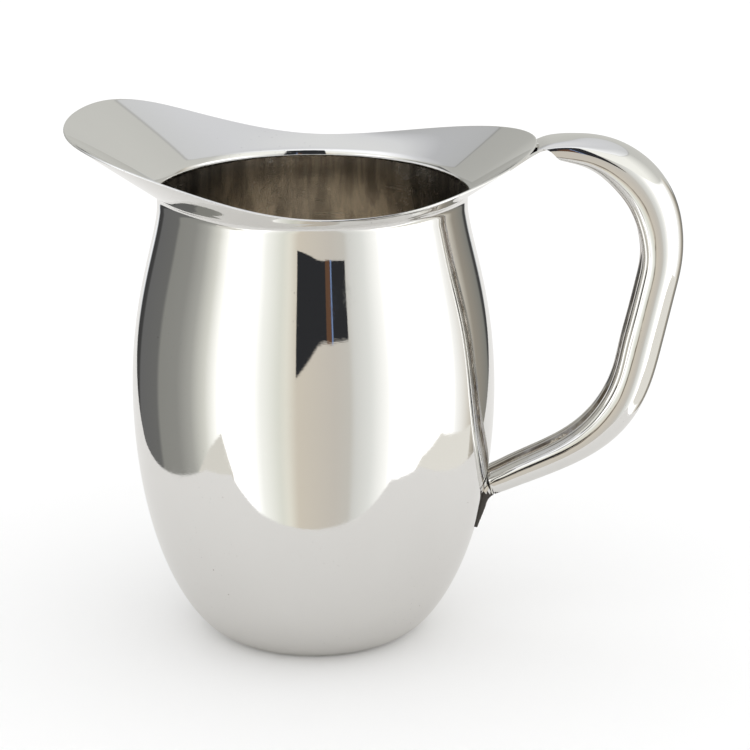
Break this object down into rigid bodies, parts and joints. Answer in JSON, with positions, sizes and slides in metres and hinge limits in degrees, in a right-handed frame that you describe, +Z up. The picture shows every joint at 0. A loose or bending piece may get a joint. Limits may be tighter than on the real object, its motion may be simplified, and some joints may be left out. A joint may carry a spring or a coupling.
{
  "type": "water pitcher",
  "caption": "Polished metal water pitcher with a bellied body, a saddle-cut flared pouring lip and a hollow strap handle.",
  "frame": {"origin": "centre of the flat base, on the body's vertical axis", "axes": "+Z up along the body's axis, +X towards the handle, -X towards the spout, XZ is the plane of symmetry"},
  "size_m": [0.2564, 0.1518, 0.219],
  "materials": {
    "polished_steel": "mirror-polished stainless steel with faint circumferential polishing lines",
    "satin_steel": "ground and polished weld metal, slightly duller than the sheet"
  },
  "bodies": {
    "root": {"body_shell": "polished_steel", "lip_collar": "polished_steel", "neck_weld": "satin_steel", "handle_shell": "polished_steel", "handle_seam_weld": "satin_steel", "upper_tab_welds": "satin_steel", "lower_tab_welds": "satin_steel"}
  },
  "joints": []
}
